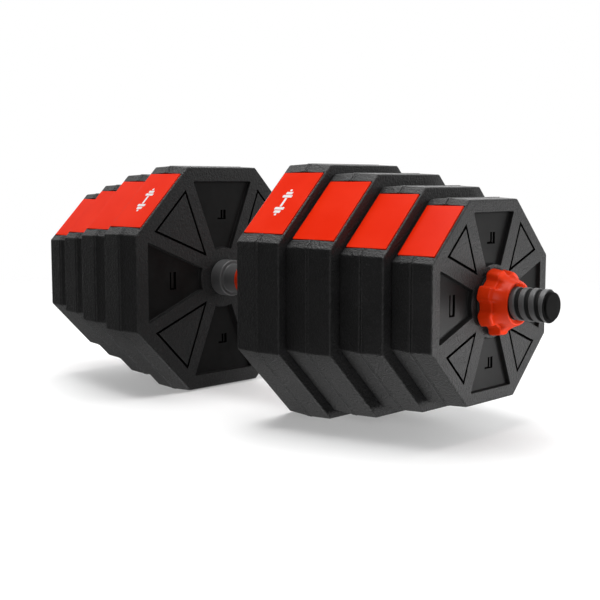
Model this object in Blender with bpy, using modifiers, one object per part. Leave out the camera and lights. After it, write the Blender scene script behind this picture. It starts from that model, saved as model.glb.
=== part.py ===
"""Adjustable dumbbell: a threaded bar with four octagonal cement-filled plates and a star nut at each end.

Every length is in metres. The bar lies along X and the largest plates rest on the plane z = 0.
Each end is modelled in an end frame whose local Z points outward along the bar and whose local X points up.
"""

from math import asin, cos, pi, radians, sin, tan, tanh

import bmesh
import bpy
from mathutils import Matrix

# Driving dimensions -------------------------------------------------------------------------------
GAP = 0.0003                  # clearance left between pieces that touch
STACK_START = 0.0625          # half the hand space between the two stacks of plates
BAR_END = 0.2815              # half the length of the whole bar

PLATE_FLATS = (0.1020, 0.0946, 0.0849, 0.0762)      # axis to flat, largest plate first
PLATE_THICKNESS = (0.0455, 0.0450, 0.0410, 0.0360)
DRAFT = 0.0012                # how far each shell tapers from the seam to its face
SEAM_LAND = 0.0020            # straight strip beside the seam
EDGE_CHAMFER = 0.0010
SHELL_WALL = 0.0035
FACE_WALL = 0.0030
POCKET_DEPTH = 0.0035
POCKET_FLOOR = 0.0025
POCKET_BORDER = 0.14          # width of the rim outside a pocket, as a share of the axis-to-flat size
POCKET_INSET = 0.0010         # pocket side to the sector line
HUB_R = 0.0275
BORE_R = 0.0129
BORE_WALL = 0.0022
LABEL_SHARE = 0.77            # label width as a share of the flat's width
LABEL_MARGIN = 0.0020         # shell left at each end of a label
LABEL_THICKNESS = 0.0012
LABEL_SINK = 0.0006           # label face below the seam line

PITCH = 0.0080
THREAD_R = 0.0122
ROOT_R = 0.0102
CREST_WIDTH = 0.0038
ROOT_WIDTH = 0.0066
THREAD_START = 0.0680
THREAD_END = 0.2774
THREAD_PLAY = 0.00055         # between the thread and a nut, in every direction
TUBE_R = 0.0075
TUBE_BORE_R = 0.0060
TUBE_END = 0.2796
SLEEVE_END = 0.2800
SLEEVE_CHAMFER = 0.0007
CAP_R = 0.0102
CAP_CHAMFER = 0.0007
CAP_STEM_LENGTH = 0.0120

STOP_R = 0.0165               # hand stop against the largest plate
STOP_START = 0.0490
STOP_CHAMFER = 0.0008
STOP_SHOULDER = 0.0015        # bevel from the hand stop down to the neck
SOCKET_FLOOR = 0.0010         # hand stop left behind the sleeve's end
NECK_R = 0.0130
GRIP_START = 0.0078
GRIP_END = 0.0337
GRIP_R = 0.0164
GRIP_TIP_R = 0.0140
GRIP_CHAMFER = 0.0010
GRIP_SWELL_SHARE = 0.42       # share of the grip's length, from the middle, that keeps its full radius
GRIP_STEPS = 4                # points along the tapered part of a grip
BAND_R = 0.0168               # ring between the two grips
BAND_CHAMFER = 0.0006

SEAL_R = 0.0215
SEAL_THICKNESS = 0.0015
NUT_LOBES = 7
NUT_PHASE = radians(18.6)     # turn of the first lobe from straight up
NUT_R = 0.0232                # mean radius of the lobed flange
NUT_LOBE_HEIGHT = 0.0022
NUT_FLANGE = 0.0100
NUT_HUB = 0.0100
NUT_HUB_R = 0.0205
NUT_TIP_R = 0.0162
NUT_DISH_R = 0.0148
NUT_DISH_DEPTH = 0.0030
LOBE_SQUARENESS = 1.4         # how flat the lobes' tops are
LOBE_BROADNESS = 0.5          # how much wider the lobes are than the valleys

ROUND_STEPS = 20
BORE_STEPS = 16
THREAD_STEPS = 12             # flats in one turn of the thread
LOBE_STEPS = 6                # outline points on one lobe of a nut

AXIS_HEIGHT = PLATE_FLATS[0]
HALF_SECTOR = radians(22.5)
REACH = 0.0020                # how far a cutter runs past a solid, or a joined piece into its neighbour
MERGE_DISTANCE = 0.00001
FRAME_SIZE = 0.05             # display size of the end frames' empties

SENSES = {"right": 1, "left": -1}
COLOURS = {
    "shell_plastic": ((0.045, 0.045, 0.047, 1), 0.55, 0.0),
    "label_plastic": ((0.85, 0.07, 0.03, 1), 0.35, 0.0),
    "cement": ((0.42, 0.41, 0.39, 1), 0.90, 0.0),
    "bar_plastic": ((0.025, 0.025, 0.027, 1), 0.45, 0.0),
    "grip_plastic": ((0.72, 0.06, 0.03, 1), 0.50, 0.0),
    "nut_plastic": ((0.70, 0.06, 0.03, 1), 0.38, 0.0),
    "seal_rubber": ((0.020, 0.020, 0.020, 1), 0.75, 0.0),
    "tube_steel": ((0.55, 0.56, 0.58, 1), 0.35, 1.0),
}


# Scene helpers ------------------------------------------------------------------------------------
def clear_scene():
    for obj in list(bpy.data.objects):
        bpy.data.objects.remove(obj, do_unlink=True)


def new_collection(name):
    collection = bpy.data.collections.new(name)
    bpy.context.scene.collection.children.link(collection)
    return collection


def make_materials():
    materials = {}
    for name, (colour, roughness, metallic) in COLOURS.items():
        material = bpy.data.materials.new(name)
        material.use_nodes = True
        shader = material.node_tree.nodes["Principled BSDF"]
        shader.inputs["Base Color"].default_value = colour
        shader.inputs["Roughness"].default_value = roughness
        shader.inputs["Metallic"].default_value = metallic
        material.diffuse_color = colour
        materials[name] = material
    return materials


def end_frame(name, sense):
    """Empty on the bar's axis: local Z outward along X, local X up."""
    frame = bpy.data.objects.new(name, None)
    frame.empty_display_size = FRAME_SIZE
    columns = Matrix(((0, 0, sense), (0, -sense, 0), (1, 0, 0)))
    frame.matrix_world = Matrix.Translation((0, 0, AXIS_HEIGHT)) @ columns.to_4x4()
    PARTS.objects.link(frame)
    return frame


def place(name, mesh, frame, material=None, turn=0.0):
    """Put a mesh in its frame, as a part with a material or as a cutter without one."""
    obj = bpy.data.objects.new(name, mesh)
    obj.parent = frame
    obj.rotation_euler.z = turn
    if material:
        obj.data.materials.append(MATERIALS[material])
        PARTS.objects.link(obj)
    else:
        obj.hide_render = True
        obj.display_type = "WIRE"
        CUTTERS.objects.link(obj)
    return obj


def combine(obj, other, operation="DIFFERENCE"):
    modifier = obj.modifiers.new(other.name, "BOOLEAN")
    modifier.operation = operation
    modifier.solver = "EXACT"
    modifier.object = other


def mesh_from(bm, name):
    bmesh.ops.recalc_face_normals(bm, faces=bm.faces)
    mesh = bpy.data.meshes.new(name)
    bm.to_mesh(mesh)
    bm.free()
    return mesh


# Shape helpers ------------------------------------------------------------------------------------
def turned(name, frame, outline, steps, material=None, turn=0.0, smooth=True):
    """Turn an outline of (radius, height) points about local Z, outer side first and top to bottom."""
    bm = bmesh.new()
    points = [bm.verts.new((radius, 0, height)) for radius, height in outline]
    pairs = list(zip(points, points[1:]))
    if outline[0][0] > 0:
        pairs.append((points[-1], points[0]))
    for first, second in pairs:
        bm.edges.new((first, second))
    mesh = bpy.data.meshes.new(name)
    bm.to_mesh(mesh)
    bm.free()
    obj = place(name, mesh, frame, material, turn)
    screw = obj.modifiers.new("turn", "SCREW")
    screw.steps = steps
    screw.render_steps = steps
    screw.use_merge_vertices = True
    screw.merge_threshold = MERGE_DISTANCE
    screw.use_smooth_shade = smooth
    return obj


def cylinder(name, frame, radius, low, high, steps, turn=0.0):
    """Round or many-sided cutter between two heights."""
    bm = bmesh.new()
    bmesh.ops.create_cone(
        bm, cap_ends=True, segments=steps, radius1=radius, radius2=radius, depth=high - low
    )
    bmesh.ops.translate(bm, verts=bm.verts, vec=(0, 0, (low + high) / 2))
    return place(name, mesh_from(bm, name), frame, None, turn)


def prisms(name, frame, outlines, low, high, material=None):
    """Closed prisms standing on flat outlines, all in one mesh."""
    bm = bmesh.new()
    for outline in outlines:
        base = bm.faces.new([bm.verts.new((x, y, low)) for x, y in outline])
        top = bmesh.ops.extrude_face_region(bm, geom=[base], use_keep_orig=True)
        raised = [item for item in top["geom"] if isinstance(item, bmesh.types.BMVert)]
        bmesh.ops.translate(bm, verts=raised, vec=(0, 0, high - low))
    return place(name, mesh_from(bm, name), frame, material)


def spun(points, angle):
    """Turn flat points about the axis."""
    return [(x * cos(angle) - y * sin(angle), x * sin(angle) + y * cos(angle)) for x, y in points]


# Plates -------------------------------------------------------------------------------------------
def pocket_outline(flat, grow):
    """Pocket of one sector, about local X: straight outside, on an arc of the hub inside."""
    outer = flat * (1 - POCKET_BORDER) + grow
    inner = HUB_R - grow
    inset = POCKET_INSET - grow
    half_width = outer * tan(HALF_SECTOR) - inset / cos(HALF_SECTOR)
    half_arc = HALF_SECTOR - asin(inset / inner)
    arc = [(inner * cos(share * half_arc), inner * sin(share * half_arc)) for share in (1, 0, -1)]
    return arc + [(outer, -half_width), (outer, half_width)]


def pocket_prisms(name, frame, flat, grow, low, high):
    outline = pocket_outline(flat, grow)
    outlines = [spun(outline, quarter * pi / 2) for quarter in range(4)]
    return prisms(name, frame, outlines, low, high)


def octagon(name, frame, flat, low, high):
    return cylinder(name, frame, flat / cos(HALF_SECTOR), low, high, 8, HALF_SECTOR)


def span(start, end):
    return min(start, end), max(start, end)


def shell(name, frame, flat, face, seam, label_cutter):
    """One half of a plate's casing: an octagonal tray with a face, four pockets and half of the bore."""
    out = 1 if face > seam else -1
    corner = 1 / cos(HALF_SECTOR)
    rim = flat - DRAFT
    outline = [
        (0, face),
        ((rim - EDGE_CHAMFER) * corner, face),
        (rim * corner, face - out * EDGE_CHAMFER),
        (flat * corner, seam + out * SEAM_LAND),
        (flat * corner, seam),
        (0, seam),
    ]
    if out < 0:
        outline.reverse()
    body = turned(name, frame, outline, 8, "shell_plastic", HALF_SECTOR, smooth=False)

    inside = face - out * FACE_WALL
    past_seam = seam - out * REACH
    cavity = octagon(name + "_cavity", frame, rim - SHELL_WALL, *span(inside, past_seam))
    low, high = span(inside + out * REACH, past_seam - out * REACH)
    combine(cavity, cylinder(name + "_bore_wall", frame, BORE_R + BORE_WALL, low, high, BORE_STEPS))
    low, high = span(inside + out * REACH, face - out * (POCKET_DEPTH + POCKET_FLOOR))
    combine(cavity, pocket_prisms(name + "_pocket_backs", frame, flat, POCKET_FLOOR, low, high))
    combine(body, cavity)

    low, high = span(face + out * REACH, face - out * POCKET_DEPTH)
    combine(body, pocket_prisms(name + "_pockets", frame, flat, 0, low, high))
    low, high = span(face + out * REACH, past_seam)
    combine(body, cylinder(name + "_bore", frame, BORE_R, low, high, BORE_STEPS))
    combine(body, label_cutter)


def cement_core(name, frame, flat, inner_face, outer_face):
    """The filling, which follows the inside of both shells."""
    wall = FACE_WALL + GAP
    reach = flat - DRAFT - SHELL_WALL - GAP
    bm = bmesh.new()
    depth = outer_face - inner_face - 2 * wall
    radius = reach / cos(HALF_SECTOR)
    bmesh.ops.create_cone(bm, cap_ends=True, segments=8, radius1=radius, radius2=radius, depth=depth)
    bmesh.ops.translate(bm, verts=bm.verts, vec=(0, 0, (inner_face + outer_face) / 2))
    body = place(name, mesh_from(bm, name), frame, "cement", HALF_SECTOR)
    low, high = inner_face, outer_face
    combine(body, cylinder(name + "_bore", frame, BORE_R + BORE_WALL + GAP, low, high, BORE_STEPS))
    grow = POCKET_FLOOR + GAP
    back = POCKET_DEPTH + POCKET_FLOOR + GAP
    combine(body, pocket_prisms(name + "_inner_pockets", frame, flat, grow, low, low + back))
    combine(body, pocket_prisms(name + "_outer_pockets", frame, flat, grow, high - back, high))


def label_block(name, frame, sense, flat, half_width, low, high, bottom, top, material=None):
    """Slab on the label flat, the one that faces up and forward."""
    outline = [
        (flat - bottom, -half_width),
        (flat - top, -half_width),
        (flat - top, half_width),
        (flat - bottom, half_width),
    ]
    return prisms(name, frame, [spun(outline, sense * pi / 4)], low, high, material)


def plate(side, number, frame, sense, flat, start, thickness):
    """Two shells, a cement core and a label; the inner face is at height start."""
    name = f"{side}_plate_{number}"
    end = start + thickness
    seam = (start + end) / 2
    half_width = LABEL_SHARE * flat * tan(HALF_SECTOR)
    bottom = LABEL_SINK + LABEL_THICKNESS
    label_block(
        name + "_label", frame, sense, flat, half_width,
        start + LABEL_MARGIN, end - LABEL_MARGIN, bottom, LABEL_SINK, "label_plastic",
    )
    recess = label_block(
        name + "_recess", frame, sense, flat, half_width + GAP,
        start + LABEL_MARGIN - GAP, end - LABEL_MARGIN + GAP, bottom + GAP, -REACH,
    )
    shell(name + "_inner_shell", frame, flat, start, seam - GAP / 2, recess)
    shell(name + "_outer_shell", frame, flat, end, seam + GAP / 2, recess)
    cement_core(name + "_cement_core", frame, flat, start, end)


# Bar ----------------------------------------------------------------------------------------------
def threaded_rod(name, frame, play, bottom, low, turns, top, tip, material=None):
    """Solid rod with a right-handed helical ridge; play makes it larger for cutting a nut.

    The ridge's section is lofted along the helix. Its lower foot runs one turn past the ridge's end, and
    plain collars close the rod below its first turn and above its last.
    """
    steps = round(turns * THREAD_STEPS)
    root = ROOT_R + play
    crest = THREAD_R + play
    half_root = ROOT_WIDTH / 2 + play
    half_crest = CREST_WIDTH / 2 + play
    bm = bmesh.new()

    def point(radius, step, height):
        angle = 2 * pi * step / THREAD_STEPS
        return bm.verts.new((radius * cos(angle), radius * sin(angle), height))

    def helix(radius, offset, count):
        rise = PITCH / THREAD_STEPS
        return [point(radius, step, low + offset + rise * step) for step in range(count)]

    def ring(radius, height):
        return [point(radius, step, height) for step in range(THREAD_STEPS)]

    foot = helix(root, -half_root, steps + THREAD_STEPS + 1)
    rails = [foot] + [
        helix(radius, offset, steps + 1)
        for radius, offset in ((crest, -half_crest), (crest, half_crest), (root, half_root))
    ]
    for near, far in zip(rails, rails[1:] + [foot[THREAD_STEPS:]]):
        for step in range(steps):
            bm.faces.new((near[step], near[step + 1], far[step + 1], far[step]))
    bm.faces.new([rail[0] for rail in rails])
    bm.faces.new([rail[steps] for rail in rails])
    upper_foot = rails[-1]

    base = ring(root, bottom)
    bm.faces.new(base)
    for step in range(THREAD_STEPS - 1):
        bm.faces.new((base[step], base[step + 1], foot[step + 1], foot[step]))
    edge = (foot[0], upper_foot[0], foot[THREAD_STEPS], foot[THREAD_STEPS - 1])
    bm.faces.new((base[-1], base[0]) + edge)

    collar = ring(root, top - tip)
    for step in range(steps + 1, steps + THREAD_STEPS):
        near = collar[step % THREAD_STEPS]
        far = collar[(step + 1) % THREAD_STEPS]
        bm.faces.new((foot[step], foot[step + 1], far, near))
    near = collar[steps % THREAD_STEPS]
    far = collar[(steps + 1) % THREAD_STEPS]
    edge = (foot[steps + THREAD_STEPS], upper_foot[steps], foot[steps], foot[steps + 1])
    bm.faces.new((far, near) + edge)
    end = ring(root - tip, top)
    for step in range(THREAD_STEPS):
        after = (step + 1) % THREAD_STEPS
        bm.faces.new((collar[step], collar[after], end[after], end[step]))
    bm.faces.new(end)
    return place(name, mesh_from(bm, name), frame, material)


def threaded_sleeve(side, frame):
    name = f"{side}_threaded_sleeve"
    start = STOP_START + SOCKET_FLOOR + GAP
    turns = (THREAD_END - THREAD_START - ROOT_WIDTH / 2) / PITCH
    body = threaded_rod(
        name, frame, 0, start, THREAD_START, turns, SLEEVE_END, SLEEVE_CHAMFER, "bar_plastic"
    )
    low, high = start - REACH, SLEEVE_END + REACH
    combine(body, cylinder(name + "_bore", frame, TUBE_R + GAP, low, high, ROUND_STEPS))


def end_cap(side, frame):
    stem = TUBE_BORE_R - GAP
    under = SLEEVE_END + GAP
    outline = [
        (0, BAR_END),
        (CAP_R - CAP_CHAMFER, BAR_END),
        (CAP_R, BAR_END - CAP_CHAMFER),
        (CAP_R, under),
        (stem, under),
        (stem, under - CAP_STEM_LENGTH),
        (0, under - CAP_STEM_LENGTH),
    ]
    turned(f"{side}_end_cap", frame, outline, ROUND_STEPS, "bar_plastic")


def hand_stop(side, frame):
    """Collar that the largest plate bears on, with the narrower neck beside the grip."""
    top = STACK_START - GAP
    socket = ROOT_R + GAP
    bore = TUBE_R + GAP
    outline = [
        (STOP_R - STOP_CHAMFER, top),
        (STOP_R, top - STOP_CHAMFER),
        (STOP_R, STOP_START + STOP_SHOULDER),
        (STOP_R - STOP_SHOULDER, STOP_START),
        (NECK_R, STOP_START),
        (NECK_R, GRIP_END + GAP),
        (bore, GRIP_END + GAP),
        (bore, STOP_START + SOCKET_FLOOR),
        (socket, STOP_START + SOCKET_FLOOR),
        (socket, top),
    ]
    turned(f"{side}_hand_stop", frame, outline, ROUND_STEPS, "bar_plastic")


def grip(side, frame):
    """Barrel-shaped half of the handle's covering."""
    tapered = (GRIP_END - GRIP_CHAMFER - GRIP_START) * (1 - GRIP_SWELL_SHARE)
    outline = [(GRIP_TIP_R - GRIP_CHAMFER, GRIP_END)]
    for step in range(GRIP_STEPS):
        share = 1 - step / (GRIP_STEPS - 1)
        radius = GRIP_R - (GRIP_R - GRIP_TIP_R) * share**2
        outline.append((radius, GRIP_END - GRIP_CHAMFER - (1 - share) * tapered))
    outline += [
        (GRIP_R, GRIP_START),
        (TUBE_R + GAP, GRIP_START),
        (TUBE_R + GAP, GRIP_END),
    ]
    turned(f"{side}_grip", frame, outline, ROUND_STEPS, "grip_plastic")


def centre_band(frame):
    half = GRIP_START - GAP
    outline = [
        (BAND_R - BAND_CHAMFER, half),
        (BAND_R, half - BAND_CHAMFER),
        (BAND_R, -half + BAND_CHAMFER),
        (BAND_R - BAND_CHAMFER, -half),
        (TUBE_R + GAP, -half),
        (TUBE_R + GAP, half),
    ]
    turned("centre_band", frame, outline, ROUND_STEPS, "bar_plastic")


def core_tube(frame):
    outline = [
        (TUBE_R, TUBE_END),
        (TUBE_R, -TUBE_END),
        (TUBE_BORE_R, -TUBE_END),
        (TUBE_BORE_R, TUBE_END),
    ]
    turned("core_tube", frame, outline, ROUND_STEPS, "tube_steel")


# Nut and seal -------------------------------------------------------------------------------------
def nut_seal(side, frame, low):
    outline = [
        (SEAL_R, low + SEAL_THICKNESS),
        (SEAL_R, low),
        (BORE_R, low),
        (BORE_R, low + SEAL_THICKNESS),
    ]
    turned(f"{side}_nut_seal", frame, outline, ROUND_STEPS, "seal_rubber")


def lobed_outline():
    """Seven broad lobes with narrow valleys between them."""
    count = NUT_LOBES * LOBE_STEPS
    points = []
    for index in range(count):
        angle = 2 * pi * index / count
        wave = tanh(LOBE_SQUARENESS * cos(NUT_LOBES * angle) + LOBE_BROADNESS)
        radius = NUT_R + NUT_LOBE_HEIGHT * wave
        points.append((radius * cos(angle + NUT_PHASE), radius * sin(angle + NUT_PHASE)))
    return points


def star_nut(side, frame, low):
    """Lobed flange and dished, tapered hub with an internal thread that fits the sleeve's thread."""
    name = f"{side}_star_nut"
    step = low + NUT_FLANGE
    top = step + NUT_HUB
    body = prisms(name, frame, [lobed_outline()], low, step, "nut_plastic")
    hub = [
        (0, top),
        (NUT_TIP_R, top),
        (NUT_HUB_R, step - REACH),
        (0, step - REACH),
    ]
    combine(body, turned(name + "_hub", frame, hub, ROUND_STEPS), "UNION")
    dish = [
        (0, top + REACH),
        (NUT_DISH_R + REACH, top + REACH),
        (THREAD_R + THREAD_PLAY, top - NUT_DISH_DEPTH),
        (0, top - NUT_DISH_DEPTH),
    ]
    combine(body, turned(name + "_dish", frame, dish, ROUND_STEPS))
    first = THREAD_START + int((low - THREAD_START) / PITCH - 1) * PITCH
    turns = round((top - first) / PITCH) + 1
    last = first + (turns + 1) * PITCH
    bottom = first - ROOT_WIDTH
    thread = threaded_rod(name + "_thread", frame, THREAD_PLAY, bottom, first, turns, last, SLEEVE_CHAMFER)
    combine(body, thread)


# Assembly -----------------------------------------------------------------------------------------
def build_end(side):
    sense = SENSES[side]
    frame = end_frame(f"{side}_end", sense)
    start = STACK_START
    for number, (flat, thickness) in enumerate(zip(PLATE_FLATS, PLATE_THICKNESS), 1):
        plate(side, number, frame, sense, flat, start, thickness)
        start += thickness + GAP
    nut_seal(side, frame, start)
    star_nut(side, frame, start + SEAL_THICKNESS + GAP)
    threaded_sleeve(side, frame)
    end_cap(side, frame)
    hand_stop(side, frame)
    grip(side, frame)


clear_scene()
PARTS = new_collection("adjustable_dumbbell")
CUTTERS = new_collection("cutters")
MATERIALS = make_materials()
for end in SENSES:
    build_end(end)
middle = end_frame("bar_middle", 1)
core_tube(middle)
centre_band(middle)
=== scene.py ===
"""Looks of the adjustable dumbbell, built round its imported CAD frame.

Every length is in metres. A piece is built in an end frame, whose local Z points outward along the bar
and whose local X points up, and is then turned into the row frame. Places along the bar come from the
CAD nodes' boxes.
"""

from math import cos, inf, pi, radians, sin, sqrt, tan

import bpy
import numpy as np
from mathutils import Matrix, Vector
from mathutils.geometry import tessellate_polygon


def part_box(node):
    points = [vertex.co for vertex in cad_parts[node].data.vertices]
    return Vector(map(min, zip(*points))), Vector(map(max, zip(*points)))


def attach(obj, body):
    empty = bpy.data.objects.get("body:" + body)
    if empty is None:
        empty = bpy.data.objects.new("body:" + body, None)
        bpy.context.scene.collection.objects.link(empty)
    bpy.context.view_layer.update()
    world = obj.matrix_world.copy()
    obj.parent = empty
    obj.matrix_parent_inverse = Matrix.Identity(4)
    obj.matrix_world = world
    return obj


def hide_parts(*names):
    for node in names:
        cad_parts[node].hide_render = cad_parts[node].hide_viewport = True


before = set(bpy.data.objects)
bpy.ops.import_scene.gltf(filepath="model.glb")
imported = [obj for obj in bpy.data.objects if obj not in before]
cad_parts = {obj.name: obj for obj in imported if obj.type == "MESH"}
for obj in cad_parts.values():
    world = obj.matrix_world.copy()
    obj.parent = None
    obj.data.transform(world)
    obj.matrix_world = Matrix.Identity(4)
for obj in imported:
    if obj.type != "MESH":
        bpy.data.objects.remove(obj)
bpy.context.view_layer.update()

MM = 0.001
SENSES = {"right": 1, "left": -1}
SECTORS = 8
SECTOR = 2 * pi / SECTORS
HALF_SECTOR = SECTOR / 2
QUARTERS = [quarter * pi / 2 for quarter in range(4)]
ROUND_SIDES = 96
ROUND_STEPS = 5
SHARP_ANGLE = 34.0
KNURL_SHARP_ANGLE = 50.0
NUT_SHARP_ANGLE = 55.0
NORMAL_WEIGHT = 90
HAIR = 1e-7

# Plates, as in the frame ---------------------------------------------------------------------------
DRAFT = 1.2 * MM
SHELL_WALL = 3.5 * MM
FACE_WALL = 3.0 * MM
POCKET_DEPTH = 3.5 * MM
POCKET_FLOOR = 2.5 * MM
POCKET_BORDER = 0.14
POCKET_INSET = 1.0 * MM
HUB_R = 27.5 * MM
BORE_R = 12.9 * MM
BORE_WALL = 2.2 * MM
LABEL_SINK = 0.6 * MM
LABEL_THICKNESS = 1.2 * MM
GAP = 0.3 * MM

# Plates, finer than the frame ----------------------------------------------------------------------
CORNER_R = 2.2 * MM
CORNER_STEPS = 6
FACE_EDGE_R = 1.4 * MM
SEAM_CHAMFER = 0.65 * MM
SEAM_CURVE = ((1, 0), (0.25, 0.6), (0, 1.2))  # inset and height of the seam's edge, in chamfers
SEAM_LIP = 1.7 * MM
SEAM_STEP = 0.32 * MM
POCKET_EDGE_R = 0.4 * MM
POCKET_TAPER = 0.25 * MM
POCKET_CORNER_R = 0.8 * MM
POCKET_CORNER_STEPS = 3
TRIANGLE_TIP_R = 29.0 * MM
TRIANGLE_WIDTH = 1.04
TRIANGLE_BASE = 0.865
GROOVE_WIDTH = 1.8 * MM
GROOVE_DEPTH = 2.0 * MM
GROOVE_EDGE = 0.10 * MM
LABEL_GAP = 0.7 * MM
LABEL_EDGE_R = 0.25 * MM
LABEL_CORNER_R = 0.6 * MM
HUB_STEPS = 10
BORE_STEPS = 64
EDGE_STEPS = 3
WINDOW_DEPTH = 2.2 * MM
# Latch windows in mm, u to the right and v up: two slots beside a tongue, joined below it.
WIDE_WINDOW = (
    (-3.8, -4.3), (6.4, -4.3), (6.4, 4.3), (3.5, 4.3), (3.5, -3.3),
    (2.4, -3.3), (2.4, 4.3), (0.2, 4.3), (0.2, -2.8), (-3.8, -2.8),
)
TALL_WINDOW = (
    (-3.4, -7.8), (3.5, -7.8), (3.5, 7.8), (0.7, 7.8), (0.7, -6.4),
    (-2.0, -6.4), (-2.0, 7.8), (-3.4, 7.8),
)
# Material slots of a casing, after the first: polished plastic, and painted shade, a near-black copy of the
# plastic put in grooves, windows and the label's recess where shade falls.
POLISHED = 1
PAINTED_SHADE = 2

# Pictogram -----------------------------------------------------------------------------------------
# Its bars in mm: middle, half width and half height.
MARK_BARS = (
    (0, 4.6, 1.1), (-6.5, 1.3, 5.0), (6.5, 1.3, 5.0), (-9.9, 1.3, 3.4), (9.9, 1.3, 3.4),
    (-12.9, 1.0, 1.1), (12.9, 1.0, 1.1),
)
MARK_CORNER_R = 0.5 * MM
MARK_SINK = 0.02 * MM
MARK_RISE = 0.10 * MM

# Thread --------------------------------------------------------------------------------------------
PITCH = 8.0 * MM
THREAD_R = 12.2 * MM
ROOT_R = 10.2 * MM
CREST_HALF = 1.75 * MM
FOOT_HALF = 3.25 * MM
THREAD_START = 68.0 * MM
THREAD_BROW = 1.8 * MM
DARK_END = 1.0 * MM
THREAD_FADE = 0.06
NUT_PLAY = 0.35 * MM
TUBE_R = 7.5 * MM
THREAD_SIDES = 72
THREAD_STEP = 0.4 * MM
# Where the painted shade in the thread's grooves gives way to grey, and where the grey is full, as shares of
# the way from root to crest.
GROOVE_SHADE_FADE_START = 0.55
GROOVE_SHADE_FADE_FULL = 0.92
# Material slot of the sleeve's end, after the first.
SLEEVE_END = 1

# Cap, collar, band and seal ------------------------------------------------------------------------
CAP_SIDES = 64
CAP_HEAD = 1.2 * MM
CAP_STEM_R = 5.7 * MM
CAP_CORE_R = 0.5 * MM
CAP_STEM_EDGE_R = 0.4 * MM
CAP_UNDER_EDGE_R = 0.2 * MM
CAP_TOP_EDGE_R = 0.9 * MM
COLLAR_LENGTH = 13.2 * MM
COLLAR_NECK_R = 13.0 * MM
COLLAR_FLOOR = 1.0 * MM
COLLAR_EDGES_MM = (0, 0.6, 0.9, 1.4, 0.8, 0, 0, 0)
BAND_EDGE_R = 1.0 * MM
SEAL_INNER_EDGE_R = 0.3 * MM
SEAL_OUTER_EDGE_R = 0.7 * MM

# Grip ----------------------------------------------------------------------------------------------
KNURLS = 64
KNURL_SIDES = 4
KNURL_DEPTH = 0.42 * MM
GRIP_TIP_R = 14.0 * MM
GRIP_LIP = 0.9 * MM
GRIP_EDGE = 0.5 * MM
GRIP_END_DROP = 0.25 * MM
GRIP_START_GAP = 0.1 * MM
GRIP_TAPER_START = 0.42

# Nut -----------------------------------------------------------------------------------------------
NUT_LOBES = 7
NUT_PHASE = radians(18.6)
LOBE_SIDES = 36
NUT_SIDES = NUT_LOBES * LOBE_SIDES
LOBE_STEEPNESS = 2.6
LOBE_WIDENING = 0.5
NUT_R = 23.1 * MM
NUT_LOBE = 2.15 * MM
NUT_FLANGE = 10.0 * MM
NUT_DRAFT = 1.3 * MM
NUT_FOOT_R = 0.8 * MM
NUT_BROW = 1.6 * MM
NUT_TIP_R = 16.2 * MM
NUT_RIM_R = 0.6 * MM
NUT_FADE = 0.85
NUT_DISH_MM = ((14.9, 0), (14.5, 0.25), (13.3, 2.4))  # radius, and depth below the tip
NUT_THREAD_SINK = 3.0 * MM
NUT_FOOT_STEPS = 3
NUT_BROW_STEPS = 6
NUT_CONE_STEPS = 8
NUT_RIM_STEPS = 4

# Stage ---------------------------------------------------------------------------------------------
WORLD_DARK = 0.012
# Bright parts of the surroundings: direction, cosines where each starts and is full, and strength.
WORLD_LOBES = (
    ((0.72, 0.70, 0.12), 0.50, 0.97, 1.05),
    ((0.10, 0.30, 1.00), 0.20, 1.00, 0.35),
    ((-0.75, 0.66, 0.06), 0.50, 1.00, 3.5),
)
FLOOR_RADII = (0.4, 1.0, 2.0, 4.0, 7.0)
FLOOR_CLEAR = (0.45, 1.3)
FLOOR_SEEN = 0.72
FLOOR_BOUNCE = 0.15
FLOOR_LIFT = 0.28
CAMERA_PLACE = (0.6654, -0.6652, 0.1893)
CAMERA_TARGET = (0.035, 0, 0.088)
CAMERA_LENS = 64
SENSOR_WIDTH = 36
CLIP_START = 0.02

# A Mix node's sockets for colour: its two inputs and its output.
MIX_A = 6
MIX_B = 7
MIX_RESULT = 2


# Mesh helpers --------------------------------------------------------------------------------------
class Skin:
    """Points and faces of one piece, built up ring by ring.

    A ring is a list of point numbers, and runs anticlockwise seen from above.
    """

    def __init__(self):
        self.points = []
        self.faces = []
        self.finishes = {}

    def ring(self, outline, height):
        """Add an outline's points at one height."""
        start = len(self.points)
        for x, y in outline:
            self.points.append((float(x), float(y), float(height)))
        return list(range(start, len(self.points)))

    def wall(self, first, second, skip=()):
        """Strip between two rings; it faces outward if the second is higher, and inward if it is lower."""
        count = len(first)
        for i in range(count):
            if i not in skip:
                j = (i + 1) % count
                self.faces.append((first[i], first[j], second[j], second[i]))

    def cap(self, outer, holes=(), up=True):
        """Flat surface inside one ring and outside others."""
        loops = [list(outer)] + [list(hole) for hole in holes]
        flat = [index for loop in loops for index in loop]
        corners = [[Vector(self.points[index][:2] + (0.0,)) for index in loop] for loop in loops]
        for triangle in tessellate_polygon(corners):
            a, b, c = (flat[index] for index in triangle)
            (ax, ay, _), (bx, by, _), (cx, cy, _) = (self.points[index] for index in (a, b, c))
            area = (bx - ax) * (cy - ay) - (by - ay) * (cx - ax)
            self.faces.append((a, b, c) if (area > 0) == up else (a, c, b))

    def loft(self, outline, profile, height):
        """Walls between rings of one outline, each grown and lowered as the profile says.

        Returns the first and the last ring.
        """
        rings = [self.ring(grown(outline, grow), height - drop) for grow, drop in profile]
        for first, second in zip(rings, rings[1:]):
            self.wall(first, second)
        return rings[0], rings[-1]

    def paint(self, first, number):
        """Give the faces from this one on the material in this slot."""
        self.finishes.update((index, number) for index in range(first, len(self.faces)))

    def mesh(self, name):
        """The skin as a new mesh."""
        mesh = bpy.data.meshes.new(name)
        mesh.from_pydata(self.points, [], self.faces)
        for index, number in self.finishes.items():
            mesh.polygons[index].material_index = number
        return mesh


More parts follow.
